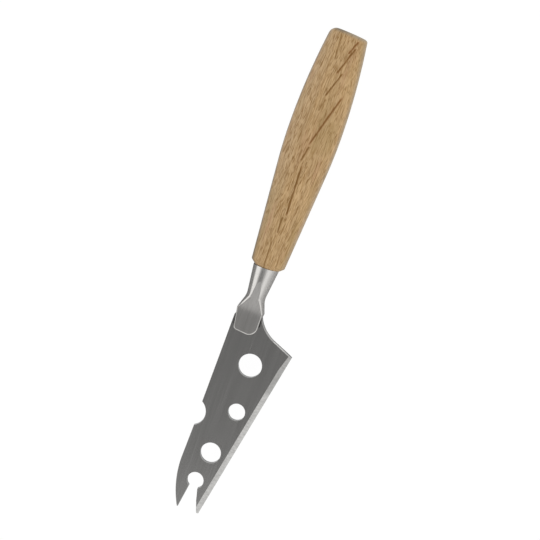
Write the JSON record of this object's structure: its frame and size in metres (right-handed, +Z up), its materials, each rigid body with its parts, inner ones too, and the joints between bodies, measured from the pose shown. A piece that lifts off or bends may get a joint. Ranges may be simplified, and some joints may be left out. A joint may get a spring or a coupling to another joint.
{
  "type": "cheese knife",
  "caption": "Cheese knife with a pierced steel blade that ends in a fork, a slotted steel neck and a flattened oak handle.",
  "frame": {"origin": "on the surface that the knife lies on, under the middle of its bounding box", "axes": "+X along the handle from the blade towards the butt, +Y towards the blade's spine, +Z up from one face of the blade; the cutting edge faces -Y"},
  "size_m": [0.2144, 0.034, 0.0188],
  "materials": {
    "blade_steel": "satin stainless sheet, brushed along its length, with a lighter ground bevel",
    "neck_steel": "satin cast stainless steel",
    "tang_steel": "turned steel rod",
    "braze": "silver braze, hidden in the neck's slot",
    "glue": "set epoxy, hidden in the handle",
    "oak": "oiled pale oak with short pores and thin dark rays"
  },
  "bodies": {
    "root": {"blade": "blade_steel", "slot_braze": "braze", "neck": "neck_steel", "tang": "tang_steel", "tang_glue": "glue", "handle": "oak"}
  },
  "joints": []
}
